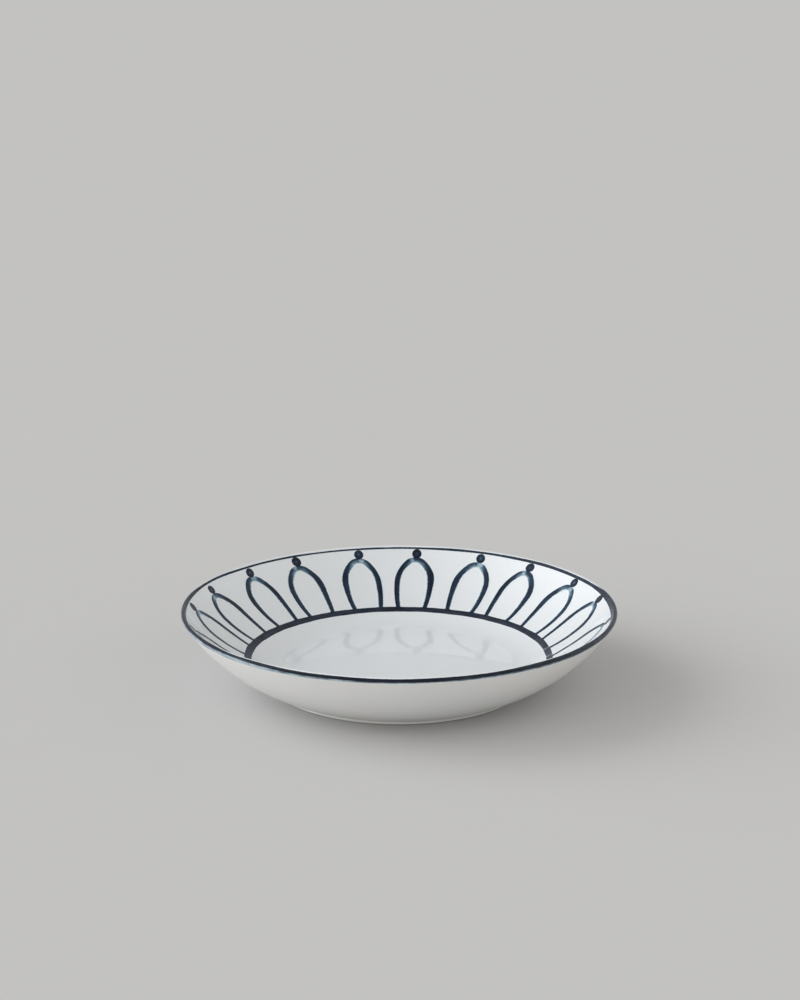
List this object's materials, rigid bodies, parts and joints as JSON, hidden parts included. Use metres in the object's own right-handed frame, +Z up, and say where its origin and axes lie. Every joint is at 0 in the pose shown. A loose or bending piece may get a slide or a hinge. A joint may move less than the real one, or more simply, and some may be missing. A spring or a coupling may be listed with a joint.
{
  "type": "soup plate",
  "caption": "Round coupe soup plate in glazed porcelain on a turned foot ring, with a dark blue rim band, well ring and a painted border of arches and beads.",
  "frame": {"origin": "on the table, at the middle of the foot ring's sole", "axes": "+Z up along the plate's axis of turning; +Y away from the picture's camera, +X to its right"},
  "size_m": [0.22, 0.22, 0.04],
  "materials": {
    "bisque_porcelain": "bare fired porcelain, matt",
    "clear_glaze": "clear glaze over white porcelain, glossy",
    "cobalt_colour": "dark cobalt blue brush colour, glossy"
  },
  "bodies": {
    "root": {"porcelain_body": "bisque_porcelain", "clear_glaze_coat": "clear_glaze", "foot_recess_glaze": "clear_glaze", "rim_band": "cobalt_colour", "well_ring": "cobalt_colour", "arch_01": "cobalt_colour", "arch_02": "cobalt_colour", "arch_03": "cobalt_colour", "arch_04": "cobalt_colour", "arch_05": "cobalt_colour", "arch_06": "cobalt_colour", "arch_07": "cobalt_colour", "arch_08": "cobalt_colour", "arch_09": "cobalt_colour", "arch_10": "cobalt_colour", "arch_11": "cobalt_colour", "arch_12": "cobalt_colour", "arch_13": "cobalt_colour", "arch_14": "cobalt_colour", "arch_15": "cobalt_colour", "arch_16": "cobalt_colour", "arch_17": "cobalt_colour", "arch_18": "cobalt_colour", "arch_19": "cobalt_colour", "arch_20": "cobalt_colour", "bead_01": "cobalt_colour", "bead_02": "cobalt_colour", "bead_03": "cobalt_colour", "bead_04": "cobalt_colour", "bead_05": "cobalt_colour", "bead_06": "cobalt_colour", "bead_07": "cobalt_colour", "bead_08": "cobalt_colour", "bead_09": "cobalt_colour", "bead_10": "cobalt_colour", "bead_11": "cobalt_colour", "bead_12": "cobalt_colour", "bead_13": "cobalt_colour", "bead_14": "cobalt_colour", "bead_15": "cobalt_colour", "bead_16": "cobalt_colour", "bead_17": "cobalt_colour", "bead_18": "cobalt_colour", "bead_19": "cobalt_colour", "bead_20": "cobalt_colour"}
  },
  "joints": []
}
